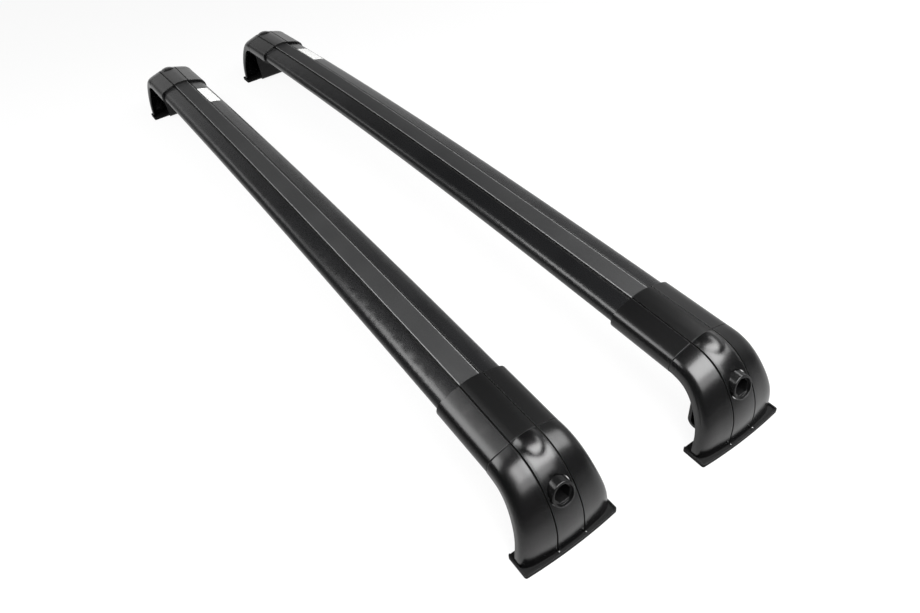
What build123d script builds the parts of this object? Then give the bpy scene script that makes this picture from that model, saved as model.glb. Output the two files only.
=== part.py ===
"""Pair of arched roof crossbars on moulded feet: a longer front bar and a shorter rear bar.

Millimetres, +Z up, bars along X, +Y towards the front of the vehicle.
The origin lies on the floor under the middle of the pair.
"""
import math
import os

from build123d import *

os.makedirs("parts", exist_ok=True)

# Overall sizes of the pair
front_half = 648.0      # middle of the front bar to the outer edge of its pad
rear_half = 630.0       # the same for the shorter rear bar
bar_spacing = 215.0     # between the two bar centre planes
seam_inset = 69.0       # pad edge to the joint between sleeve and cover
sleeve_inset = 152.5    # pad edge to the inner end of the sleeve
bar_end_inset = 70.0    # pad edge to the cut end of the aluminium bar
seam_tilt = 2.35        # slope of the arched bar at the joint, degrees
seam_level = 98.0       # height of the strip's edge at the joint

# Clearances
fit_gap = 0.3           # between curved faces of different pieces
seam_gap = 0.35         # between sleeve and cover

# Wing section of the bar, heights from the strip's edge
bar_half_width = 40.0
bar_depth = 28.0
slot_half_width = 13.4
wing_drop = 1.2
slot_depth = 4.2
bar_wall = 2.2
web_half_space = 15.2
web_thickness = 2.0
slot_floor = 2.8
strip_crown = 0.7
strip_shoulder = 1.1    # open line beside the strip
strip_flange = 2.7
wing_shape = [(0.525, 0.10), (0.70, 0.157), (0.85, 0.236), (0.945, 0.35), (0.9925, 0.482), (1.0, 0.589),
              (0.975, 0.714), (0.8875, 0.836), (0.725, 0.929), (0.45, 0.986), (0.0, 1.0)]

# Sleeve section
sleeve_wall = 3.2
sleeve_half_width = bar_half_width + sleeve_wall
sleeve_dome = 4.6
sleeve_base = bar_depth + sleeve_wall
dome_shape = [(10.0, 0.7), (14.0, 1.6), (18.0, 2.7), (21.0, 3.6), (28.5, 5.8), (35.5, 8.4), (40.0, 11.6), (42.6, 16.6)]
sleeve_widest = 16.5
under_shape = [(0.972, 0.69), (0.88, 0.827), (0.706, 0.93), (0.428, 0.987)]

# Grooves that run over sleeve and cover
groove_width = 1.2
groove_depth = 1.0
groove_at_sleeve = 14.1
groove_at_seam = 15.2
groove_at_base = 16.7

# Foot cover: rows of fan angle, outer radius on the centre line, half width and radius of the open inner edge
cover_wall = 2.2
cover_bottom = 3.0
cover_top = seam_level + sleeve_dome
fan_x = -seam_inset - (cover_top - sleeve_dome - cover_bottom) * math.tan(math.radians(seam_tilt))
seam_angle = 90.0 - seam_tilt
seam_radius = (cover_top - cover_bottom) / math.cos(math.radians(seam_tilt))
base_half_width = 55.0
base_radius = -fan_x - 1.4
cover_rows = [(seam_angle, seam_radius, sleeve_half_width, 76.0), (79.0, 99.8, 43.6, 75.6), (70.0, 98.4, 44.3, 74.5),
              (55.0, 91.6, 46.6, 68.6), (38.0, 83.3, 50.0, 62.4), (20.0, 75.4, 53.6, 57.0),
              (0.0, base_radius, base_half_width, 55.5)]
across = [0.324, 0.57, 0.80, 0.93, 0.99, 1.0]
seam_fall = [1.6, 4.7, 8.0, 11.8, 17.0, 21.1]
base_fall = [0.5, 1.8, 3.6, 6.3, 9.6, 13.0]
crown_pull = 55.0       # strength of the end slopes, about the length of a half section
crown_steps = [0.0, 0.068, 0.163, 0.289, 0.494, 0.714, 1.0]     # the same along every section, from side to middle
cutter_margin = 10.0    # cutters run past the cover's top and bottom by this much
cutter_inset = 120.0    # pad edge to the inner end of the groove cutter
cutter_run = 140.0
cover_hollow = 30.0     # the cover's hollow runs this far past its inner edge
opening_inset = 50.0    # pad edge to the inner end of the opening's cutter
opening_run = 60.0
swelling_inset = 62.0   # middle of the D-shaped swelling
swelling_size = (19.5, 15.0, 8.0)
swelling_rise = 2.4
swelling_tilt = 4.0

# Base pad
pad_length = 114.0
pad_depth = 27.6
pad_bow = 2.6
pad_floor = 3.0
pad_rim = 1.6
pad_height = 5.0
pad_corner = 2.6
pip_radius = 0.7
pip_inset = 0.1

# Socket barrel, stud and the steel bracket behind them
barrel_level = 71.5
barrel_radius = 12.8
barrel_front = 12.0
barrel_bevel = 20.0     # the front face leans back
socket_flats = 17.0
socket_floor = 28.0
mouth_radius = 10.8     # round mouth in front of the hexagon
mouth_depth = 2.6
opening_gap = 0.6
web_front = 44.0
steel = 4.0
web_half = 28.0
tongue_half = 13.0
tongue_inset = 146.0
bend = 5.0
washer_thickness = 2.0
washer_radius = 12.0
stud_radius = 4.0
stud_start = 30.0
nut_flats = 13.0
nut_height = 6.5
stud_overhang = 3.0
screw_insets = (96.0, 130.0)
screw_radius = 3.0
screw_head_radius = 5.0
screw_head = 2.5

# The arch; the frame of one foot has x = 0 at the pad's outer edge and the inner side at negative x


def arch_for(half):
    """Radius and centre height of the arch of a bar, so that every foot meets it at the same slope."""
    radius = (half - seam_inset) / math.sin(math.radians(seam_tilt))
    return radius, seam_level - radius * math.cos(math.radians(seam_tilt))


def section_plane(radius, centre_x, centre_z, angle):
    """Plane across the bar at an angle along its arch: local x runs across, local y runs outwards."""
    s, c = math.sin(angle), math.cos(angle)
    return Plane(origin=(centre_x + radius * s, 0, centre_z + radius * c), x_dir=(0, 1, 0), z_dir=(c, 0, -s))


foot_radius, foot_centre_z = arch_for(rear_half)
foot_centre_x = -rear_half


def foot_angle(inset):
    """Angle along the arch at a distance inwards from the pad's outer edge."""
    return math.asin((-inset - foot_centre_x) / foot_radius)


def deck_plane(inset, level):
    """Plane lying on the bar at an inset, at a height from the strip's edge; local z points out of the bar."""
    angle = foot_angle(inset)
    s, c = math.sin(angle), math.cos(angle)
    reach = foot_radius + level
    return Plane(origin=(foot_centre_x + reach * s, 0, foot_centre_z + reach * c), x_dir=(c, 0, -s), z_dir=(s, 0, c))


# Bar sections drawn flat: x across, y from the strip's edge upwards
wing_points = [(slot_half_width, -wing_drop)]
wing_points += [(f * bar_half_width, -g * bar_depth) for f, g in wing_shape]


def grown(points, amount):
    """Points of a wing moved square to their outline, the last one straight down on the centre plane."""
    moved = []
    for i, (x, y) in enumerate(points):
        before = points[max(i - 1, 0)]
        after = points[min(i + 1, len(points) - 1)]
        dx, dy = after[0] - before[0], after[1] - before[1]
        length = math.hypot(dx, dy)
        if i == len(points) - 1:
            dx, dy, length = -1.0, 0.0, 1.0
        moved.append((x - dy / length * amount, y + dx / length * amount))
    return moved


def wing_face(points):
    """Closed wing outline: a smooth side, its mirror image and a straight top between them."""
    other = [(-x, y) for x, y in reversed(points)]
    with BuildSketch() as outline:
        with BuildLine():
            Spline(points, tangents=[(1, -0.12), (-1, 0)])
            Spline(other, tangents=[(-1, 0), (1, 0.12)])
            Line(other[-1], points[0])
        make_face()
    return outline.sketch


with BuildSketch() as bar_cells:
    add(wing_face(grown(wing_points, -bar_wall)))
    block_half = web_half_space + web_thickness
    with Locations((0, -(slot_depth + slot_floor) / 2)):
        Rectangle(2 * block_half, slot_depth + slot_floor, mode=Mode.SUBTRACT)
    for side in (-1, 1):
        with Locations((side * (web_half_space + web_thickness / 2), -bar_depth / 2)):
            Rectangle(web_thickness, bar_depth, mode=Mode.SUBTRACT)

with BuildSketch() as bar_section:
    add(wing_face(wing_points))
    add(bar_cells.sketch, mode=Mode.SUBTRACT)
    with Locations((0, -slot_depth / 2)):
        Rectangle(2 * slot_half_width, slot_depth, mode=Mode.SUBTRACT)

strip_top_half = slot_half_width - strip_shoulder
with BuildSketch() as strip_section:
    with BuildLine():
        low = -slot_depth + fit_gap
        Polyline((-strip_top_half, 0), (-strip_top_half, -strip_flange), (-slot_half_width, -strip_flange),
                 (-slot_half_width, low), (slot_half_width, low), (slot_half_width, -strip_flange),
                 (strip_top_half, -strip_flange), (strip_top_half, 0))
        ThreePointArc((strip_top_half, 0), (0, strip_crown), (-strip_top_half, 0))
    make_face()
    fillet(strip_section.vertices().filter_by(lambda v: abs(v.Y) < 0.01), radius=0.7)

sleeve_points = [(0, sleeve_dome)] + [(x, sleeve_dome - d) for x, d in dome_shape]
sleeve_points += [(sleeve_half_width, -sleeve_widest)]
sleeve_points += [(f * sleeve_half_width, -g * sleeve_base) for f, g in under_shape] + [(0, -sleeve_base)]
with BuildSketch() as sleeve_section:
    with BuildLine():
        Spline(sleeve_points, tangents=[(1, 0), (-1, 0)])
        Spline([(-x, y) for x, y in reversed(sleeve_points)], tangents=[(-1, 0), (1, 0)])
    make_face()
    add(wing_face(grown(wing_points, fit_gap)), mode=Mode.SUBTRACT)


def screw_spots():
    """Insets of the screws that hold a bracket's tongue under the floor of the slot."""
    return list(screw_insets)


def build_bar(half):
    """Hollow arched extrusion with a slot along the top and screw holes near both ends."""
    radius, centre_z = arch_for(half)
    reach = math.asin((half - bar_end_inset) / radius)
    with BuildPart() as bar:
        with BuildSketch(section_plane(radius, 0, centre_z, -reach)):
            add(bar_section.sketch)
        revolve(axis=Axis((0, 0, centre_z), (0, 1, 0)), revolution_arc=math.degrees(2 * reach))
        for inset in screw_spots():
            for side in (-1, 1):
                angle = side * math.asin((half - inset) / radius)
                out = (math.sin(angle), 0, math.cos(angle))
                low = radius - slot_depth - slot_floor - 1
                start = Plane(origin=(low * out[0], 0, centre_z + low * out[2]), x_dir=(out[2], 0, -out[0]), z_dir=out)
                with BuildSketch(start):
                    Circle(screw_radius + fit_gap)
                extrude(amount=slot_floor + 2, mode=Mode.SUBTRACT)
    return bar


def build_strip(half):
    """Rubber strip that fills the slot between the two sleeves."""
    radius, centre_z = arch_for(half)
    reach = math.asin((half - sleeve_inset - fit_gap) / radius)
    with BuildPart() as strip:
        with BuildSketch(section_plane(radius, 0, centre_z, -reach)):
            add(strip_section.sketch)
        revolve(axis=Axis((0, 0, centre_z), (0, 1, 0)), revolution_arc=math.degrees(2 * reach))
    return strip


def cover_face(row, inset, deeper):
    """Half section of the cover on its fan plane: a crowned outer face, a rounded corner and a straight side."""
    angle, radius, half_width, inner = row
    mix = angle / seam_angle
    top = radius - inset
    half = half_width - inset
    fall = [b + (s - b) * mix for s, b in zip(seam_fall, base_fall)]
    side = [(-f * half, top - d) for f, d in zip(across, fall)]
    side.reverse()
    turn = math.radians(angle)
    plane = Plane(origin=(fan_x, 0, cover_bottom), x_dir=(0, 1, 0), z_dir=(math.sin(turn), 0, -math.cos(turn)))
    low = inner - deeper
    with BuildSketch(plane) as face:
        with BuildLine():
            add(Edge.make_spline(side + [(0, top)], tangents=[(0, crown_pull), (crown_pull, 0)],
                                 parameters=crown_steps, scale=False))
            Polyline((0, top), (0, low), (-half, low), side[0])
        make_face()
    return face.sketch


seam_plane = Plane(origin=(fan_x, 0, cover_bottom), x_dir=(0, 1, 0),
                   z_dir=(math.sin(math.radians(seam_angle)), 0, -math.cos(math.radians(seam_angle))))

# Swelling below the joint: a flattened ball, kept on the outer side of the joint
with BuildPart() as swelling:
    Sphere(1.0)
    scale(by=swelling_size, mode=Mode.REPLACE)
with BuildPart() as swelling_placed:
    with Locations(Location((-swelling_inset, 0, cover_top + swelling_rise - swelling_size[2] - 0.6),
                            (0, swelling_tilt, 0))):
        add(swelling.part)
    split(bisect_by=seam_plane, keep=Keep.TOP)
    split(bisect_by=Plane.XZ, keep=Keep.TOP)

# Groove cutter: a thin wall that leans outwards towards the base, kept only above the groove's floor
with BuildPart() as cover_groove:
    with BuildSketch(Plane.YZ.offset(-cutter_inset)):
        rise = cover_top + cutter_margin
        slope = (groove_at_seam - groove_at_base) / (seam_level - cover_bottom)
        at_top = groove_at_base + slope * (rise - cover_bottom)
        at_bottom = groove_at_base - slope * cutter_margin
        base = cover_bottom - cutter_margin
        with BuildLine():
            Polyline((-at_bottom + groove_width / 2, base), (-at_bottom - groove_width / 2, base),
                     (-at_top - groove_width / 2, rise), (-at_top + groove_width / 2, rise), close=True)
        make_face()
    extrude(amount=cutter_run)
    loft(sections=[cover_face(row, groove_depth, 1.0) for row in cover_rows], mode=Mode.SUBTRACT)

# Foot cover: one half as a lofted shell with swelling and groove, then its mirror image and the barrel's opening
with BuildPart() as cover:
    loft(sections=[cover_face(row, 0.0, 0.0) for row in cover_rows])
    add(swelling_placed.part)
    loft(sections=[cover_face(row, cover_wall, cover_hollow) for row in cover_rows], mode=Mode.SUBTRACT)
    add(cover_groove.part, mode=Mode.SUBTRACT)
    mirror(about=Plane.XZ)
    with BuildSketch(Plane.YZ.offset(-opening_inset)):
        with Locations((0, barrel_level)):
            Circle(barrel_radius + opening_gap)
    extrude(amount=opening_run, mode=Mode.SUBTRACT)

# Sleeve: collar over the bar's end with two grooves that spread towards the joint
sleeve_start = foot_angle(sleeve_inset)
sleeve_end = math.radians(seam_tilt) - seam_gap / foot_radius
with BuildPart() as sleeve:
    with BuildSketch(section_plane(foot_radius, foot_centre_x, foot_centre_z, sleeve_start)):
        add(sleeve_section.sketch)
    revolve(axis=Axis((foot_centre_x, 0, foot_centre_z), (0, 1, 0)), revolution_arc=math.degrees(sleeve_end - sleeve_start))
    sleeve_middle = (sleeve_inset + seam_inset) / 2
    run = (sleeve_inset - seam_inset) / 2
    with BuildSketch(deck_plane(sleeve_middle, sleeve_dome - 1.8 - groove_depth)):
        spread = (groove_at_seam - groove_at_sleeve) / (2 * run)
        ends = [(-run - 2, groove_at_sleeve - 2 * spread), (run + 2, groove_at_seam + 2 * spread)]
        for side in (-1, 1):
            with BuildLine():
                Polyline((ends[0][0], side * (ends[0][1] - groove_width / 2)), (ends[1][0], side * (ends[1][1] - groove_width / 2)),
                         (ends[1][0], side * (ends[1][1] + groove_width / 2)), (ends[0][0], side * (ends[0][1] + groove_width / 2)),
                         close=True)
            make_face()
    extrude(amount=6, mode=Mode.SUBTRACT)

# Base pad: rubber tray with a bowed outer edge, a raised rim and two pips
with BuildSketch() as pad_plan:
    with BuildLine():
        ThreePointArc((0, -pad_length / 2), (pad_bow, 0), (0, pad_length / 2))
        Polyline((0, pad_length / 2), (-pad_depth, pad_length / 2), (-pad_depth, -pad_length / 2), (0, -pad_length / 2))
    make_face()
    fillet(pad_plan.vertices(), radius=pad_corner)
with BuildPart() as pad:
    with BuildSketch():
        add(pad_plan.sketch)
    extrude(amount=pad_height)
    with BuildSketch(Plane.XY.offset(pad_floor)):
        with BuildSketch(mode=Mode.PRIVATE) as tray:
            add(pad_plan.sketch)
            offset(amount=-pad_rim, mode=Mode.REPLACE)
        add(tray.sketch)
        with Locations((-pad_depth, 0)):
            Rectangle(2 * pad_corner, pad_length - 2 * pad_corner)
    extrude(amount=pad_height, mode=Mode.SUBTRACT)
    with BuildSketch(Plane.XY.offset(pad_floor)):
        with Locations((-pip_inset, -groove_at_base), (-pip_inset, groove_at_base)):
            Circle(pip_radius)
    extrude(amount=pad_height - pad_floor + 0.4)

# Bracket: folded steel with a tongue inside the bar, a web behind the barrel and a flange on the pad
tongue_top = -slot_depth - slot_floor - fit_gap
tongue_plane = deck_plane((screw_insets[0] + screw_insets[1]) / 2, tongue_top)
with BuildPart() as bracket:
    tongue_mid = (screw_insets[0] + screw_insets[1]) / 2
    tongue_z = tongue_plane.origin.Z
    slope = math.tan(foot_angle(tongue_mid))

    def tongue_height(inset):
        """Height of the tongue's upper face at an inset."""
        return tongue_z - (tongue_mid - inset) * slope

    with BuildSketch(Plane.XZ) as tongue_side:
        with BuildLine():
            Polyline((-tongue_inset, tongue_height(tongue_inset)), (-web_front, tongue_height(web_front)),
                     (-web_front, barrel_level), (-web_front - steel, barrel_level),
                     (-web_front - steel, tongue_height(web_front + steel) - steel),
                     (-tongue_inset, tongue_height(tongue_inset) - steel), close=True)
        make_face()
        fillet(tongue_side.vertices().sort_by_distance((-web_front, tongue_height(web_front), 0))[0], radius=bend + steel)
        inner_corner = (-web_front - steel, tongue_height(web_front + steel) - steel, 0)
        fillet(tongue_side.vertices().sort_by_distance(inner_corner)[0], radius=bend)
    extrude(amount=tongue_half, both=True)
    with BuildSketch(Plane.XZ) as web_side:
        with BuildLine():
            low = pad_floor
            Polyline((-web_front - steel, barrel_level + 8), (-web_front, barrel_level + 8), (-web_front, low + steel),
                     (-6.0, low + steel), (-6.0, low), (-web_front - steel, low), close=True)
        make_face()
        fillet(web_side.vertices().sort_by_distance((-web_front, low + steel, 0))[0], radius=bend)
        fillet(web_side.vertices().sort_by_distance((-web_front - steel, low, 0))[0], radius=bend + steel)
    extrude(amount=web_half, both=True)
    with BuildSketch(Plane.YZ.offset(-web_front - steel - 2)):
        with Locations((0, barrel_level)):
            Circle(stud_radius + fit_gap)
    extrude(amount=steel + 4, mode=Mode.SUBTRACT)
    for inset in screw_spots():
        with BuildSketch(deck_plane(inset, tongue_top - steel - 2)):
            Circle(screw_radius + fit_gap)
        extrude(amount=steel + 4, mode=Mode.SUBTRACT)

# Socket barrel with a leaning front face and a round mouth that follows it
barrel_back = web_front - washer_thickness
lean = math.radians(barrel_bevel)
front_plane = Plane(origin=(-barrel_front, 0, barrel_level), x_dir=(0, 1, 0), z_dir=(math.cos(lean), 0, math.sin(lean)))
with BuildPart() as mouth:
    with BuildSketch(Plane.YZ.offset(-socket_floor)):
        with Locations((0, barrel_level)):
            Circle(mouth_radius)
    extrude(amount=30)
    split(bisect_by=front_plane.offset(-mouth_depth), keep=Keep.TOP)
with BuildPart() as barrel:
    with BuildSketch(Plane.YZ.offset(-barrel_back)):
        with Locations((0, barrel_level)):
            Circle(barrel_radius)
    extrude(amount=barrel_back - 4)
    split(bisect_by=front_plane, keep=Keep.BOTTOM)
    front_edges = barrel.faces().sort_by(Axis.X)[-1].edges()
    fillet(front_edges, radius=0.8)
    with BuildSketch(Plane.YZ.offset(-socket_floor)):
        with Locations((0, barrel_level)):
            RegularPolygon(radius=socket_flats / 2, side_count=6, major_radius=False)
    extrude(amount=30, mode=Mode.SUBTRACT)
    add(mouth.part, mode=Mode.SUBTRACT)
    with BuildSketch(Plane.YZ.offset(-barrel_back)):
        with Locations((0, barrel_level)):
            Circle(stud_radius + fit_gap)
    extrude(amount=barrel_back - stud_start, mode=Mode.SUBTRACT)

# Washer, stud and nut on the barrel's axis
with BuildPart() as washer:
    with BuildSketch(Plane.YZ.offset(-web_front)):
        with Locations((0, barrel_level)):
            Circle(washer_radius)
            Circle(stud_radius + fit_gap, mode=Mode.SUBTRACT)
    extrude(amount=washer_thickness)

nut_back = web_front + steel + nut_height
with BuildPart() as nut:
    with BuildSketch(Plane.YZ.offset(-nut_back)):
        with Locations((0, barrel_level)):
            RegularPolygon(radius=nut_flats / 2, side_count=6, major_radius=False)
            Circle(stud_radius + fit_gap, mode=Mode.SUBTRACT)
    extrude(amount=nut_height)

with BuildPart() as stud:
    with BuildSketch(Plane.YZ.offset(-nut_back - stud_overhang)):
        with Locations((0, barrel_level)):
            Circle(stud_radius)
    extrude(amount=nut_back + stud_overhang - stud_start)
    chamfer(stud.faces().sort_by(Axis.X)[0].edges(), length=1.0)

# Two low-head screws in the slot under the sleeve
with BuildPart() as screws:
    for inset in screw_spots():
        with BuildSketch(deck_plane(inset, tongue_top - steel - 1)):
            Circle(screw_radius)
        extrude(amount=-tongue_top + steel + 1 - slot_depth + 0.3)
        with BuildSketch(deck_plane(inset, -slot_depth + 0.1)):
            Circle(screw_head_radius)
        extrude(amount=screw_head)
        with BuildSketch(deck_plane(inset, -slot_depth + 0.1 + screw_head - 1.4)):
            RegularPolygon(radius=2.0, side_count=6, major_radius=False)
        extrude(amount=3, mode=Mode.SUBTRACT)


def hand_out(piece, label, spot):
    """Places one piece of the pair and writes it out under its own name."""
    with BuildPart() as placed:
        with Locations(spot):
            add(piece.part)
    placed.part.label = label
    export_step(placed.part, "parts/" + label + ".step")


foot_pieces = {"sleeve": sleeve, "foot_cover": cover, "base_pad": pad, "bracket": bracket, "socket_barrel": barrel,
               "washer": washer, "stud": stud, "nut": nut, "tongue_screws": screws}
for bar_name, half, y_place in (("front", front_half, bar_spacing / 2), ("rear", rear_half, -bar_spacing / 2)):
    hand_out(build_bar(half), bar_name + "_bar", Location((0, y_place, 0)))
    hand_out(build_strip(half), bar_name + "_top_strip", Location((0, y_place, 0)))
    for end_name, end, turn in (("right", 1, 0), ("left", -1, 180)):
        spot = Location((end * half, y_place, 0), (0, 0, turn))
        for piece_name, piece in foot_pieces.items():
            hand_out(piece, bar_name + "_" + end_name + "_" + piece_name, spot)
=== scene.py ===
"""Pair of black roof crossbars with moulded feet, seen from above the near feet.

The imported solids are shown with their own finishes, and a blank label is laid on each bar's far end.
Metres, +Z up, bars along X.
"""

import math

import bpy
import numpy as np
from mathutils import Matrix, Vector


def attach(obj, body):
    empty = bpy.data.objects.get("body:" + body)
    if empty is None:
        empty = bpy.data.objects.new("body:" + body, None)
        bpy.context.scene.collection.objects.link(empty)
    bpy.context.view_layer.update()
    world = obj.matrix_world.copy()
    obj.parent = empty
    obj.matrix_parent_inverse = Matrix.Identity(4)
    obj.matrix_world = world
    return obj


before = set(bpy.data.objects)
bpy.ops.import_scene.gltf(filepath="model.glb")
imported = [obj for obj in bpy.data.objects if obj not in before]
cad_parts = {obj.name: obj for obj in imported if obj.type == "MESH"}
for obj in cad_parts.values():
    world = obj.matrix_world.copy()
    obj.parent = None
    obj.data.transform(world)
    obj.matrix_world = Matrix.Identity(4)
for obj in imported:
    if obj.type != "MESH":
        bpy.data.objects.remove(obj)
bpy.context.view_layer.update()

# Sizes of the pair, repeated from the solids, in metres
bar_offset = 0.1075
halves = {"rear": 0.630, "front": 0.648}
side_of = {"rear": -1, "front": 1}
seam_inset = 0.069
sleeve_inset = 0.1525
seam_tilt = math.radians(2.35)
seam_level = 0.098
strip_half_width = 0.0123
slot_half_width = 0.0134
pad_level = 0.003
pip_level = 0.0054

# Half length over the pads: their mean, and what is added for the front bar and taken off for the rear bar
foot_middle_half = (halves["front"] + halves["rear"]) / 2
foot_half_step = (halves["front"] - halves["rear"]) / 2

# Top of a wing: distance from the middle of the bar and depth below the strip's top
wing_reach = np.array([slot_half_width, 0.021, 0.028, 0.034])
wing_depth = np.array([0.0012, 0.0028, 0.0044, 0.00661])
wing_curve = np.polyfit(wing_reach, wing_depth, 3)

# Grooves: distance from the bar's middle where the sleeve starts, at the joint and at the pad
groove_at_sleeve = 0.0141
groove_at_seam = 0.0152
groove_at_base = 0.0167
groove_half_width = 0.0010
groove_depth = 0.0015

# Line at the joint of sleeve and cover
joint_half_width = 0.0008
joint_depth = 0.0006

# Rounded edges of the cover, and what is added to them round the swelling
cover_edge_radius = 0.0003
swelling_blend = 0.0060

# Zone of the swelling: each pair goes from where nothing is added to where all of it is
swelling_level = (0.084, 0.088)
swelling_reach = (0.0146, 0.0138)
swelling_past_joint = (0.002, 0.006)

# Lines beside the strip: painted shade in the groove on the bar, a painted highlight on the strip's top
# edge, painted shade on its side down in the slot
bar_line_half_width = 0.0010
bar_line_depth = 0.0015
strip_highlight_half_width = 0.0006
strip_side_half_width = 0.0008
strip_side_inset = 0.0004

# Painted highlights on the tops of the pad's pips
pip_highlight_half_height = 0.0003

# Colours and roughness that several finishes share; the black is painted shade in the grooves and the dark
# of the joints
groove_shade_and_joint_black = (0.0005, 0.0005, 0.0005)
line_roughness = 0.5
moulding_colours = [(0.0014, 0.0014, 0.0015), (0.0022, 0.0022, 0.0023)]
dust_colour = (0.09, 0.09, 0.088)

# Blank label: place along and across the bar, and sheet
label_past_sleeve = 0.048
label_length = 0.078
label_inner = 0.0146
label_outer = 0.0335
label_thickness = 0.00016
label_sunk = 0.0001
label_corner = 0.0015

# Shading of the solids
weld_distance = 0.000004
crease_angle = math.radians(24.0)

# Camera of the photograph
image_width = 920.0
focal_pixels = 684.06
sensor_width = 36.0
camera_place = (0.87066, -0.32326, 0.61788)
camera_azimuth = math.radians(61.22)
camera_elevation = math.radians(42.794)
camera_roll = math.radians(-8.401)


def new_mesh_piece(name, points, faces):
    """Mesh object at the origin from an array of points and an array of faces."""
    mesh = bpy.data.meshes.new(name)
    mesh.from_pydata(points.tolist(), [], faces.tolist())
    mesh.update()
    piece = bpy.data.objects.new(name, mesh)
    bpy.context.scene.collection.objects.link(piece)
    return piece


# Node helpers


def add_node(tree, kind, place, inputs=None, **settings):
    """One node at its place in the tree: settings are its properties, inputs the values of its sockets."""
    node = tree.nodes.new(kind)
    node.location = place
    for key, value in settings.items():
        setattr(node, key, value)
    for socket, value in (inputs or {}).items():
        node.inputs[socket].default_value = value
    return node


def feed(tree, socket, value):
    """Links a value to a socket, or sets the socket where the value is a plain number or colour."""
    if isinstance(value, bpy.types.NodeSocket):
        tree.links.new(value, socket)
    else:
        socket.default_value = value


def work_out(tree, place, operation, *values, clamp=False):
    """One step of arithmetic on values that are sockets or plain numbers."""
    node = add_node(tree, "ShaderNodeMath", place, operation=operation, use_clamp=clamp)
    for socket, value in zip(node.inputs, values):
        feed(tree, socket, value)
    return node.outputs[0]


def ramp(tree, place, value, start, end, low=0.0, high=1.0, smooth=False):
    """Goes from low to high while the value goes from start to end, and stays level beyond them."""
    course = "SMOOTHSTEP" if smooth else "LINEAR"
    node = add_node(tree, "ShaderNodeMapRange", place, interpolation_type=course,
                    inputs={"From Min": start, "From Max": end, "To Min": low, "To Max": high})
    tree.links.new(value, node.inputs["Value"])
    return node.outputs["Result"]


def mixed(tree, place, kind, share, first, second):
    """Goes from the first to the second by a share, as numbers (FLOAT) or colours (RGBA)."""
    node = add_node(tree, "ShaderNodeMix", place, data_type=kind)
    feed(tree, node.inputs["Factor"], share)
    feed(tree, node.inputs["A"], first)
    feed(tree, node.inputs["B"], second)
    return node.outputs["Result"]


def opaque(colour):
    """A colour with its alpha."""
    return (*colour, 1.0)


def grey(level):
    """A neutral colour with its alpha."""
    return (level, level, level, 1.0)


def new_material(name):
    """Material with an empty node tree and its output."""
    material = bpy.data.materials.new(name)
    material.use_nodes = True
    tree = material.node_tree
    tree.nodes.clear()
    output = add_node(tree, "ShaderNodeOutputMaterial", (1200, 0))
    return material, tree, output


def new_group(name, inputs, outputs):
    """Shader node group with named sockets: inputs have a kind and a default, outputs a kind."""
    group = bpy.data.node_groups.new(name, "ShaderNodeTree")
    for label, kind, default in inputs:
        socket = group.interface.new_socket(label, in_out="INPUT", socket_type=kind)
        socket.default_value = default
    for label, kind in outputs:
        group.interface.new_socket(label, in_out="OUTPUT", socket_type=kind)
    start = add_node(group, "NodeGroupInput", (-900, 0))
    end = add_node(group, "NodeGroupOutput", (900, 0))
    return group, start, end


def place_group(tree, group, place, **values):
    """A group node with its own values."""
    node = add_node(tree, "ShaderNodeGroup", place, node_tree=group)
    for label, value in values.items():
        node.inputs[label.replace("_", " ")].default_value = value
    return node


# Effects that the finishes share

number = "NodeSocketFloat"
vector = "NodeSocketVector"


def grain_group():
    """Two sizes of soft noise blended together: a coarse orange-peel and a grain one fifth of its size."""
    fine_ratio = 5.0
    group, start, end = new_group(
        "fine_grain",
        [("Vector", vector, (0, 0, 0)), ("Scale", number, 900.0), ("Fine share", number, 0.4)],
        [("Height", number), ("Shade", number)],
    )
    link = group.links.new
    coarse = add_node(group, "ShaderNodeTexNoise", (-600, 150), inputs={"Detail": 2.0, "Roughness": 0.5})
    fine = add_node(group, "ShaderNodeTexNoise", (-600, -150), inputs={"Detail": 3.0, "Roughness": 0.6})
    finer = work_out(group, (-750, -150), "MULTIPLY", start.outputs["Scale"], fine_ratio)
    link(start.outputs["Vector"], coarse.inputs["Vector"])
    link(start.outputs["Vector"], fine.inputs["Vector"])
    link(start.outputs["Scale"], coarse.inputs["Scale"])
    link(finer, fine.inputs["Scale"])
    height = mixed(group, (-300, 0), "FLOAT", start.outputs["Fine share"],
                   coarse.outputs["Fac"], fine.outputs["Fac"])
    shade = ramp(group, (100, -150), height, start=0.3, end=0.7)
    link(height, end.inputs["Height"])
    link(shade, end.inputs["Shade"])
    return group


def film_group():
    """Slow cloudy variation of a handled surface, with a sparse scatter of dust points on top of it."""
    group, start, end = new_group(
        "handled_film",
        [("Vector", vector, (0, 0, 0)), ("Cloud scale", number, 14.0), ("Dust scale", number, 380.0)],
        [("Film", number), ("Dust", number)],
    )
    link = group.links.new
    cloud = add_node(group, "ShaderNodeTexNoise", (-600, 150), inputs={"Detail": 4.0, "Roughness": 0.55})
    cells = add_node(group, "ShaderNodeTexVoronoi", (-600, -150), feature="F1")
    link(start.outputs["Vector"], cloud.inputs["Vector"])
    link(start.outputs["Vector"], cells.inputs["Vector"])
    link(start.outputs["Cloud scale"], cloud.inputs["Scale"])
    link(start.outputs["Dust scale"], cells.inputs["Scale"])
    spread = ramp(group, (-300, 150), cloud.outputs["Fac"], start=0.32, end=0.68)
    speck = ramp(group, (-300, -150), cells.outputs["Distance"], start=0.10, end=0.04)
    gate = ramp(group, (-300, -400), cloud.outputs["Fac"], start=0.60, end=0.72)
    sparse = work_out(group, (0, -200), "MULTIPLY", speck, gate)
    link(spread, end.inputs["Film"])
    link(sparse, end.inputs["Dust"])
    return group


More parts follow.
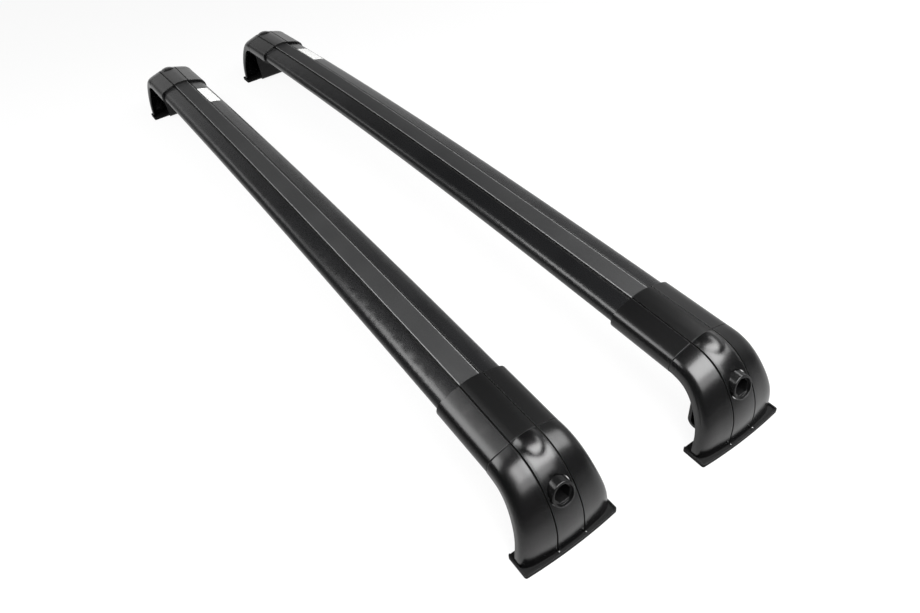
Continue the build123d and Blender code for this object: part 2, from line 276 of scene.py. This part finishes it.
def edge_group():
    """Rounded edges: the normal of a small fillet, and a mask where it leaves the face's own normal."""
    group, start, end = new_group(
        "rounded_edge",
        [("Radius", number, 0.0004), ("Gain", number, 6.0)],
        [("Normal", vector), ("Edge", number)],
    )
    link = group.links.new
    fillet = add_node(group, "ShaderNodeBevel", (-600, 100), samples=6)
    own = add_node(group, "ShaderNodeNewGeometry", (-600, -150))
    agree = add_node(group, "ShaderNodeVectorMath", (-350, 0), operation="DOT_PRODUCT")
    link(start.outputs["Radius"], fillet.inputs["Radius"])
    link(fillet.outputs["Normal"], agree.inputs[0])
    link(own.outputs["Normal"], agree.inputs[1])
    away = work_out(group, (-150, 0), "SUBTRACT", 1.0, agree.outputs["Value"])
    edge = work_out(group, (50, 0), "MULTIPLY", away, start.outputs["Gain"], clamp=True)
    link(fillet.outputs["Normal"], end.inputs["Normal"])
    link(edge, end.inputs["Edge"])
    return group


def line_group():
    """Scored line: the height rises from the line to its edge in a V, and the mask fades out there."""
    group, start, end = new_group(
        "scored_line",
        [("Distance", number, 1.0), ("Half width", number, 0.0006)],
        [("Height", number), ("Line", number)],
    )
    link = group.links.new
    away = work_out(group, (-600, 0), "ABSOLUTE", start.outputs["Distance"])
    share = work_out(group, (-400, 0), "DIVIDE", away, start.outputs["Half width"], clamp=True)
    mask = ramp(group, (-100, -150), share, start=1.0, end=0.7, smooth=True)
    link(share, end.inputs["Height"])
    link(mask, end.inputs["Line"])
    return group


grain = grain_group()
film = film_group()
rounded_edge = edge_group()
scored_line = line_group()


# Finishes


def finish_material(name, colours, roughness, grain_scale, grain_height, edge_radius=0.0004,
                    edge_rough=-0.06, stretch=(1.0, 1.0, 1.0), fine_share=0.4, specular=0.5, metallic=0.0,
                    dust=0.5):
    """Surface finish: a cloudy blend of two colours, a roughness range, grain as bump and rubbed edges.

    The colour goes from the first to the second with the handled film, and dust points lighten it.
    The roughness goes from the first to the second with the grain, and falls on edges.
    """
    material, tree, output = new_material(name)
    link = tree.links.new
    shader = add_node(tree, "ShaderNodeBsdfPrincipled", (900, 0),
                      inputs={"Metallic": metallic, "Specular IOR Level": specular})
    link(shader.outputs[0], output.inputs["Surface"])
    place = add_node(tree, "ShaderNodeTexCoord", (-900, 0))
    drawn = add_node(tree, "ShaderNodeMapping", (-700, -200), inputs={"Scale": stretch})
    link(place.outputs["Object"], drawn.inputs["Vector"])
    surface = place_group(tree, grain, (-400, -200), Scale=grain_scale, Fine_share=fine_share)
    link(drawn.outputs["Vector"], surface.inputs["Vector"])
    handled = place_group(tree, film, (-400, 200))
    link(place.outputs["Object"], handled.inputs["Vector"])
    edges = place_group(tree, rounded_edge, (-400, -500), Radius=edge_radius)
    tint = mixed(tree, (0, 250), "RGBA", handled.outputs["Film"], opaque(colours[0]), opaque(colours[1]))
    amount = work_out(tree, (150, 50), "MULTIPLY", handled.outputs["Dust"], dust)
    dusted = mixed(tree, (300, 250), "RGBA", amount, tint, opaque(dust_colour))
    link(dusted, shader.inputs["Base Color"])
    sheen = ramp(tree, (0, -50), surface.outputs["Shade"], 0.0, 1.0, *roughness)
    polish = work_out(tree, (200, -150), "MULTIPLY_ADD", edges.outputs["Edge"], edge_rough, sheen)
    link(polish, shader.inputs["Roughness"])
    bump = add_node(tree, "ShaderNodeBump", (500, -350), inputs={"Strength": 1.0, "Distance": grain_height})
    link(surface.outputs["Height"], bump.inputs["Height"])
    link(edges.outputs["Normal"], bump.inputs["Normal"])
    link(bump.outputs["Normal"], shader.inputs["Normal"])
    return material


def one_node(tree, kind):
    """The first node of its kind in a finish."""
    return next(node for node in tree.nodes if node.type == kind)


def fed_by(shader, label):
    """What feeds a socket of the shader so far."""
    return shader.inputs[label].links[0].from_socket


def edges_of(tree):
    """The node of the rounded edges in a finish."""
    return next(node for node in tree.nodes if node.type == "GROUP" and node.node_tree == rounded_edge)


def reach_from_middle(tree):
    """Splits the place into its parts and measures the distance from the middle plane of the nearer bar."""
    parts = add_node(tree, "ShaderNodeSeparateXYZ", (-700, 500))
    tree.links.new(one_node(tree, "TEX_COORD").outputs["Object"], parts.inputs["Vector"])
    side = work_out(tree, (-500, 500), "ABSOLUTE", parts.outputs["Y"])
    offset = work_out(tree, (-350, 500), "SUBTRACT", side, bar_offset)
    return parts, work_out(tree, (-200, 500), "ABSOLUTE", offset)


def inset_from_pad(tree, parts):
    """Distance inwards from the outer edge of the foot's pad, for either bar."""
    which = work_out(tree, (-500, 800), "SIGN", parts.outputs["Y"])
    half = work_out(tree, (-350, 800), "MULTIPLY_ADD", which, foot_half_step, foot_middle_half)
    out = work_out(tree, (-500, 950), "ABSOLUTE", parts.outputs["X"])
    return work_out(tree, (-200, 850), "SUBTRACT", half, out)


def past_joint(tree, parts, inset):
    """Distance from the joint of sleeve and cover, whose plane leans outwards by the arch's tilt."""
    slope = math.tan(seam_tilt)
    joint = work_out(tree, (-350, 1100), "MULTIPLY_ADD", parts.outputs["Z"], -slope,
                     seam_inset + seam_level * slope)
    return work_out(tree, (-200, 1000), "SUBTRACT", inset, joint)


def score(tree, distance, half_width, depth=0.0, mark_colour=groove_shade_and_joint_black, mark_roughness=line_roughness):
    """Adds a scored line to a finish: its own colour and roughness, and with a depth its V as bump."""
    link = tree.links.new
    shader = one_node(tree, "BSDF_PRINCIPLED")
    line = place_group(tree, scored_line, (300, 900), Half_width=half_width)
    link(distance, line.inputs["Distance"])
    mask = line.outputs["Line"]
    colour = mixed(tree, (600, 900), "RGBA", mask, fed_by(shader, "Base Color"), opaque(mark_colour))
    link(colour, shader.inputs["Base Color"])
    sheen = mixed(tree, (600, 700), "FLOAT", mask, fed_by(shader, "Roughness"), mark_roughness)
    link(sheen, shader.inputs["Roughness"])
    if depth > 0.0:
        cut = add_node(tree, "ShaderNodeBump", (700, -700), inputs={"Strength": 1.0, "Distance": depth})
        link(line.outputs["Height"], cut.inputs["Height"])
        link(fed_by(shader, "Normal"), cut.inputs["Normal"])
        link(cut.outputs["Normal"], shader.inputs["Normal"])


def soften_swelling(tree, parts, reach, inset):
    """Widens the rounded edges where the swelling meets the cover.

    The zone is the product of three shares: high up, between the grooves and clear of the joint.
    """
    high = ramp(tree, (-200, 1100), parts.outputs["Z"], *swelling_level)
    between = ramp(tree, (-200, 1300), reach, *swelling_reach)
    clear = ramp(tree, (-200, 1500), inset, *(seam_inset - past for past in swelling_past_joint))
    high_between = work_out(tree, (0, 1200), "MULTIPLY", high, between)
    zone = work_out(tree, (150, 1300), "MULTIPLY", high_between, clear)
    radius = work_out(tree, (300, 1300), "MULTIPLY_ADD", zone, swelling_blend, cover_edge_radius)
    tree.links.new(radius, edges_of(tree).inputs["Radius"])


def cover_material():
    """Moulded cover: satin, with a line at the joint and two groove lines, darkened with painted shade, that
    spread from there down to the pad.
    """
    material = finish_material("cover_plastic", moulding_colours, roughness=(0.222, 0.246),
                               grain_scale=1500.0, grain_height=0.000002,
                               edge_radius=cover_edge_radius, dust=0.05)
    tree = material.node_tree
    parts, reach = reach_from_middle(tree)
    inset = inset_from_pad(tree, parts)
    soften_swelling(tree, parts, reach, inset)
    groove = ramp(tree, (-200, 700), parts.outputs["Z"], start=pad_level, end=seam_level,
                  low=groove_at_base, high=groove_at_seam)
    # The grooves are darkened with painted shade
    score(tree, work_out(tree, (0, 700), "SUBTRACT", reach, groove), groove_half_width, groove_depth)
    score(tree, past_joint(tree, parts, inset), joint_half_width, joint_depth)
    return material


def sleeve_material():
    """Moulded sleeve: satin wings, a grained centre panel between two groove lines darkened with painted
    shade, and a line at the joint.
    """
    panel_fade = 0.0004
    pebble_height = 0.00002
    material = finish_material("sleeve_plastic", moulding_colours, roughness=(0.256, 0.274),
                               grain_scale=1500.0, grain_height=0.000001, dust=0.05)
    tree = material.node_tree
    link = tree.links.new
    shader = one_node(tree, "BSDF_PRINCIPLED")
    bump = one_node(tree, "BUMP")
    parts, reach = reach_from_middle(tree)
    inset = inset_from_pad(tree, parts)
    groove = ramp(tree, (-100, 800), inset, start=sleeve_inset, end=seam_inset,
                  low=groove_at_sleeve, high=groove_at_seam)
    from_groove = work_out(tree, (0, 700), "SUBTRACT", reach, groove)
    panel = ramp(tree, (0, 500), from_groove, start=panel_fade, end=-panel_fade)
    pebble = place_group(tree, grain, (0, 800), Scale=1400.0, Fine_share=0.25)
    link(one_node(tree, "TEX_COORD").outputs["Object"], pebble.inputs["Vector"])
    matt = ramp(tree, (300, 700), pebble.outputs["Shade"], 0.0, 1.0, low=0.27, high=0.34)
    sheen = mixed(tree, (600, 500), "FLOAT", panel, fed_by(shader, "Roughness"), matt)
    link(sheen, shader.inputs["Roughness"])
    pebble_bump = add_node(tree, "ShaderNodeBump", (700, -500),
                           inputs={"Strength": 1.0, "Distance": pebble_height})
    panel_height = work_out(tree, (300, 500), "MULTIPLY", pebble.outputs["Height"], panel)
    link(panel_height, pebble_bump.inputs["Height"])
    link(bump.outputs["Normal"], pebble_bump.inputs["Normal"])
    link(pebble_bump.outputs["Normal"], shader.inputs["Normal"])
    # The grooves are darkened with painted shade
    score(tree, from_groove, groove_half_width, groove_depth)
    score(tree, past_joint(tree, parts, inset), joint_half_width, joint_depth)
    return material


def bar_material():
    """Smooth satin paint, with a line scored along each side of the strip and darkened as painted shade."""
    material = finish_material("bar_paint", [(0.0032, 0.0033, 0.0036), (0.0050, 0.0051, 0.0055)],
                               roughness=(0.268, 0.282), grain_scale=900.0, grain_height=0.0000005,
                               edge_radius=0.0005, dust=0.03)
    tree = material.node_tree
    _, reach = reach_from_middle(tree)
    # The groove beside the strip is darkened with painted shade
    beside = work_out(tree, (0, 600), "SUBTRACT", reach, slot_half_width + bar_line_half_width)
    score(tree, beside, bar_line_half_width, bar_line_depth)
    return material


def strip_material():
    """Rubber strip drawn lengthwise, with a painted highlight along its top edges and painted shade on its
    sides down in the slot.
    """
    material = finish_material("strip_rubber", [(0.0098, 0.0100, 0.0103), (0.0138, 0.0140, 0.0143)],
                               roughness=(0.52, 0.62), grain_scale=600.0, grain_height=0.00005,
                               stretch=(0.03, 1.0, 1.0), fine_share=0.6, dust=0.8)
    tree = material.node_tree
    _, reach = reach_from_middle(tree)
    # Painted highlight along the strip's top edges
    edge = work_out(tree, (0, 600), "SUBTRACT", reach, strip_half_width - strip_highlight_half_width)
    score(tree, edge, strip_highlight_half_width, mark_colour=(0.13, 0.13, 0.131), mark_roughness=0.4)
    # Painted shade on the strip's sides down in the slot
    side = work_out(tree, (0, 800), "SUBTRACT", reach, slot_half_width - strip_side_inset)
    score(tree, side, strip_side_half_width, mark_colour=(0.0006, 0.0006, 0.0006), mark_roughness=0.6)
    return material


def pad_material():
    """Matt rubber pad; its edges and the tops of its two pips carry painted highlights."""
    material = finish_material("pad_rubber", [(0.0020, 0.0020, 0.0021), (0.0034, 0.0034, 0.0035)],
                               roughness=(0.62, 0.74), grain_scale=1100.0, grain_height=0.00002,
                               edge_radius=0.0006, edge_rough=-0.3, fine_share=0.5, specular=0.15)
    tree = material.node_tree
    parts, _ = reach_from_middle(tree)
    # The tops of the pips are painted pale as a painted highlight
    above = work_out(tree, (0, 600), "SUBTRACT", parts.outputs["Z"], pip_level)
    score(tree, above, pip_highlight_half_height, mark_colour=(0.30, 0.30, 0.30), mark_roughness=0.35)
    shader = one_node(tree, "BSDF_PRINCIPLED")
    # Painted highlight along the pad's edges, set by the rounded-edge mask
    rim_highlight = mixed(tree, (750, 900), "RGBA", edges_of(tree).outputs["Edge"],
                fed_by(shader, "Base Color"), opaque((0.035, 0.035, 0.036)))
    tree.links.new(rim_highlight, shader.inputs["Base Color"])
    return material


bracket_paint = finish_material("bracket_paint", [(0.0030, 0.0030, 0.0032), (0.0050, 0.0050, 0.0052)],
                                roughness=(0.40, 0.50), grain_scale=1000.0, grain_height=0.00003,
                                specular=0.25)
barrel_paint = finish_material("barrel_paint", [(0.0020, 0.0020, 0.0021), (0.0034, 0.0034, 0.0035)],
                               roughness=(0.20, 0.24), grain_scale=1300.0, grain_height=0.000002,
                               edge_radius=0.0005, edge_rough=-0.05, specular=0.45, dust=0.1)
fastener_steel = finish_material("fastener_steel", [(0.42, 0.42, 0.43), (0.55, 0.55, 0.56)],
                                 roughness=(0.30, 0.45), grain_scale=1500.0, grain_height=0.00002,
                                 metallic=1.0, dust=0.2)
label_paper = finish_material("label_paper", [(0.76, 0.76, 0.75), (0.82, 0.82, 0.81)],
                              roughness=(0.45, 0.55), grain_scale=1800.0, grain_height=0.00001, dust=0.1)
bar_paint = bar_material()
cover_plastic = cover_material()
sleeve_plastic = sleeve_material()
strip_rubber = strip_material()
pad_rubber = pad_material()


# Finishes on the solids


def even_shading_group():
    """Joins the loose triangles and shades them smooth, apart from edges that turn by more than a crease."""
    group = bpy.data.node_groups.new("even_shading", "GeometryNodeTree")
    group.interface.new_socket("Geometry", in_out="INPUT", socket_type="NodeSocketGeometry")
    group.interface.new_socket("Geometry", in_out="OUTPUT", socket_type="NodeSocketGeometry")
    link = group.links.new
    start = add_node(group, "NodeGroupInput", (-600, 0))
    weld = add_node(group, "GeometryNodeMergeByDistance", (-400, 0), inputs={"Distance": weld_distance})
    turn = add_node(group, "GeometryNodeInputMeshEdgeAngle", (-400, -250))
    sharp = add_node(group, "FunctionNodeCompare", (-200, -250), operation="GREATER_THAN",
                     inputs={1: crease_angle})
    soft = add_node(group, "GeometryNodeSetShadeSmooth", (-150, 0), domain="FACE",
                    inputs={"Shade Smooth": True})
    crisp = add_node(group, "GeometryNodeSetShadeSmooth", (100, 0), domain="EDGE",
                     inputs={"Shade Smooth": False})
    end = add_node(group, "NodeGroupOutput", (350, 0))
    link(start.outputs[0], weld.inputs["Geometry"])
    link(weld.outputs["Geometry"], soft.inputs[0])
    link(soft.outputs[0], crisp.inputs[0])
    link(turn.outputs["Unsigned Angle"], sharp.inputs[0])
    link(sharp.outputs["Result"], crisp.inputs["Selection"])
    link(crisp.outputs[0], end.inputs[0])
    return group


even_shading = even_shading_group()
finish_of = {
    "sleeve": sleeve_plastic,
    "foot_cover": cover_plastic,
    "base_pad": pad_rubber,
    "bracket": bracket_paint,
    "socket_barrel": barrel_paint,
    "washer": fastener_steel,
    "stud": fastener_steel,
    "nut": fastener_steel,
    "tongue_screws": fastener_steel,
    "top_strip": strip_rubber,
    "bar": bar_paint,
}
for node_name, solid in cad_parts.items():
    ending = next(e for e in finish_of if node_name.endswith("_" + e))
    solid.data.materials.clear()
    solid.data.materials.append(finish_of[ending])
    shading = solid.modifiers.new("even_shading", "NODES")
    shading.node_group = even_shading


# Blank labels


def label_on_bar(name, half, middle_y):
    """Thin closed sheet on the wing: a rounded rectangle in (along, across), bent to the wing and the arch.

    Along the bar runs the angle of the arch, across it the distance from the bar's middle. The upper side
    lies its thickness above the wing's curve and the lower side a little below it. The ends narrow by the
    circle of the corner's radius.
    """
    turn_points, straight_points, columns = 6, 28, 16
    radius = (half - seam_inset) / math.sin(seam_tilt)
    centre = seam_level - radius * math.cos(seam_tilt)
    first = -(half - sleeve_inset - label_past_sleeve)
    end_turn = (1 - np.cos(np.linspace(0, np.pi / 2, turn_points))) * label_corner
    straight = np.linspace(label_corner, label_length - label_corner, straight_points + 2)[1:-1]
    along = np.concatenate([end_turn, straight, label_length - end_turn[::-1]])
    to_end = np.minimum(along, label_length - along)
    inside_corner = np.maximum(label_corner - to_end, 0.0)
    narrow = label_corner - np.sqrt(np.maximum(label_corner ** 2 - inside_corner ** 2, 0.0))
    share = np.linspace(0.0, 1.0, columns)
    width = label_outer - label_inner - 2 * narrow
    across = (label_inner + narrow)[:, None] + share[None, :] * width[:, None]
    fall = np.polyval(wing_curve, across)
    across_loop = np.concatenate([across, across[:, ::-1]], axis=1)
    level = np.concatenate([-fall + label_thickness, -fall[:, ::-1] - label_sunk], axis=1)
    angle = np.arcsin((first + along) / radius)[:, None]
    x = (radius + level) * np.sin(angle)
    z = centre + (radius + level) * np.cos(angle)
    points = np.stack([x, middle_y + across_loop, z], axis=-1).reshape(-1, 3)
    loop = 2 * columns
    row, column = np.meshgrid(np.arange(len(along) - 1) * loop, np.arange(loop), indexing="ij")
    after = (column + 1) % loop
    corners = [row + column, row + loop + column, row + loop + after, row + after]
    around = np.stack(corners, axis=-1).reshape(-1, 4)
    step = np.arange(columns - 1)
    start_cap = np.stack([step, step + 1, loop - 2 - step, loop - 1 - step], axis=-1)
    end_cap = (len(along) - 1) * loop + start_cap[:, ::-1]
    piece = new_mesh_piece(name, points, np.concatenate([around, start_cap, end_cap]))
    piece.data.materials.append(label_paper)
    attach(piece, "root")


for bar, half_length in halves.items():
    label_on_bar(bar + "_label", half_length, side_of[bar] * bar_offset)


# Stage: pale floor, world and ceiling panels


def floor_material():
    """White floor: seen directly it is mostly its own white and keeps a soft shadow.

    In reflections it is bright under the bars and falls off in front of the feet and to the left.
    """
    own_white_share = 0.9
    material, tree, output = new_material("studio_floor")
    link = tree.links.new
    path = add_node(tree, "ShaderNodeLightPath", (-600, 300))
    place = add_node(tree, "ShaderNodeTexCoord", (-1000, -200))
    parts = add_node(tree, "ShaderNodeSeparateXYZ", (-850, -200))
    link(place.outputs["Object"], parts.inputs["Vector"])
    front = ramp(tree, (-650, -100), parts.outputs["X"], start=0.68, end=0.86,
                 low=0.75, high=0.12, smooth=True)
    left = ramp(tree, (-650, -350), parts.outputs["Y"], start=-0.45, end=-0.15,
                low=0.35, high=1.0, smooth=True)
    mirrored = work_out(tree, (-400, -200), "MULTIPLY", front, left)
    glossy = path.outputs["Is Glossy Ray"]
    strength = mixed(tree, (-200, -200), "FLOAT", glossy, 1.0, mirrored)
    seen = work_out(tree, (-350, 300), "MAXIMUM", path.outputs["Is Camera Ray"], glossy)
    share = work_out(tree, (-50, 300), "MULTIPLY", seen, own_white_share)
    white = add_node(tree, "ShaderNodeBsdfDiffuse", (0, 100), inputs={"Color": grey(0.92)})
    glow = add_node(tree, "ShaderNodeEmission", (0, -100), inputs={"Color": grey(1.0)})
    blend = add_node(tree, "ShaderNodeMixShader", (300, 0))
    link(strength, glow.inputs["Strength"])
    link(share, blend.inputs[0])
    link(white.outputs[0], blend.inputs[1])
    link(glow.outputs[0], blend.inputs[2])
    link(blend.outputs[0], output.inputs["Surface"])
    return material


def studio_world():
    """White near the horizon under a dark ceiling, dark to the left and in front; the camera sees white."""
    dark = grey(0.03)
    dark_most = 0.9
    world = bpy.data.worlds.new("studio")
    world.use_nodes = True
    tree = world.node_tree
    tree.nodes.clear()
    link = tree.links.new
    output = add_node(tree, "ShaderNodeOutputWorld", (800, 0))
    light = add_node(tree, "ShaderNodeBackground", (600, 0), inputs={"Strength": 1.0})
    path = add_node(tree, "ShaderNodeLightPath", (200, 300))
    place = add_node(tree, "ShaderNodeTexCoord", (-600, 0))
    parts = add_node(tree, "ShaderNodeSeparateXYZ", (-400, 0))
    link(place.outputs["Generated"], parts.inputs["Vector"])
    height = ramp(tree, (-200, 0), parts.outputs["Z"], start=0.02, end=0.62, smooth=True)
    left = ramp(tree, (-200, -250), parts.outputs["Y"], start=-0.05, end=-0.45, high=dark_most, smooth=True)
    front = ramp(tree, (-200, -500), parts.outputs["X"], start=0.1, end=0.5, high=dark_most, smooth=True)
    darker = work_out(tree, (0, -300), "MAXIMUM", left, front)
    ceiling = mixed(tree, (0, 0), "RGBA", height, grey(0.92), dark)
    shaded = mixed(tree, (200, 0), "RGBA", darker, ceiling, dark)
    seen = mixed(tree, (400, 0), "RGBA", path.outputs["Is Camera Ray"], shaded, grey(0.97))
    link(seen, light.inputs["Color"])
    link(light.outputs[0], output.inputs["Surface"])
    return world


def ceiling_panel(name, place, size, power):
    """Soft rectangular lamp that faces straight down, with its sides along X and Y."""
    lamp = bpy.data.lights.new(name, "AREA")
    lamp.shape = "RECTANGLE"
    lamp.size, lamp.size_y = size
    lamp.energy = power
    panel = bpy.data.objects.new(name, lamp)
    bpy.context.scene.collection.objects.link(panel)
    panel.matrix_world = Matrix.Translation(place)


floor_reach = 14.0
floor_level = -0.0004
square = np.array([[-1, -1, 0], [1, -1, 0], [1, 1, 0], [-1, 1, 0]])
floor_corners = square * floor_reach + np.array([0, 0, floor_level])
floor = new_mesh_piece("studio_floor", floor_corners, np.array([[0, 1, 2, 3]]))
floor.data.materials.append(floor_material())
bpy.context.scene.world = studio_world()
ceiling_panel("near_panel", place=(1.08, 0.32, 1.28), size=(0.96, 1.56), power=60.0)
ceiling_panel("front_panel", place=(2.03, 0.1, 1.28), size=(0.94, 1.4), power=20.0)
ceiling_panel("right_panel", place=(0.68, 1.45, 1.28), size=(1.2, 0.7), power=17.0)
ceiling_panel("left_panel", place=(-0.25, -0.75, 1.1), size=(0.9, 0.66), power=13.0)
ceiling_panel("far_panel", place=(-2.1, -0.95, 1.1), size=(1.6, 0.6), power=4.5)


# Camera
back = Vector((math.sin(camera_azimuth) * math.cos(camera_elevation),
               -math.cos(camera_azimuth) * math.cos(camera_elevation), math.sin(camera_elevation)))
level_right = (-back).cross(Vector((0, 0, 1))).normalized()
level_up = level_right.cross(-back)
image_right = level_right * math.cos(camera_roll) + level_up * math.sin(camera_roll)
image_up = level_up * math.cos(camera_roll) - level_right * math.sin(camera_roll)
lens = bpy.data.cameras.new("photo_camera")
lens.sensor_fit = "HORIZONTAL"
lens.sensor_width = sensor_width
lens.lens = focal_pixels / image_width * sensor_width
lens.clip_start, lens.clip_end = 0.01, 100.0
camera = bpy.data.objects.new("photo_camera", lens)
bpy.context.scene.collection.objects.link(camera)
camera_turn = Matrix((image_right, image_up, back)).transposed().to_4x4()
camera.matrix_world = Matrix.Translation(camera_place) @ camera_turn
bpy.context.scene.camera = camera
bpy.context.scene.view_settings.view_transform = "Standard"
